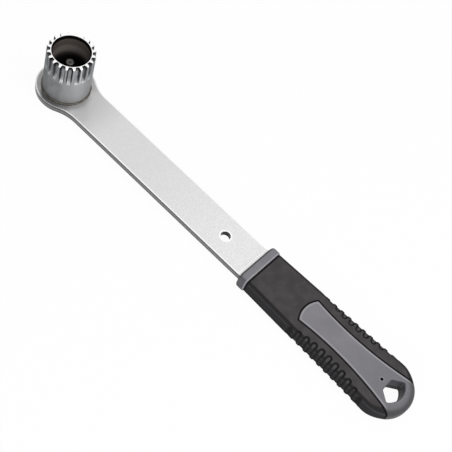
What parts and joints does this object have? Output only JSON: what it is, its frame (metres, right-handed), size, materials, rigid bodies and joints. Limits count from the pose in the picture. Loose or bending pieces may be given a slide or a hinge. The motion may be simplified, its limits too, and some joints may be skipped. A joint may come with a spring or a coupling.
{
  "type": "bottom bracket tool",
  "caption": "Bottom bracket tool: a splined steel socket with a guide pin on a flat steel arm, with a grey plastic handle and a black rubber grip.",
  "frame": {"origin": "on the socket's axis at the arm's back face", "axes": "+X along the arm from the socket to the handle's tail, +Z along the socket's axis out of its splined end"},
  "size_m": [0.3253, 0.0406, 0.0439],
  "materials": {
    "arm_steel": "light satin plating with a fine grain",
    "socket_steel": "turned and hardened, satin grey",
    "pin_steel": "satin grey",
    "braze": "heat-darkened bead",
    "core_plastic": "fine moulded texture",
    "grip_rubber": "soft matt"
  },
  "bodies": {
    "root": {"arm": "arm_steel", "socket": "socket_steel", "guide_pin": "pin_steel", "braze_fillet": "braze", "handle_core": "core_plastic", "grip": "grip_rubber"}
  },
  "joints": []
}
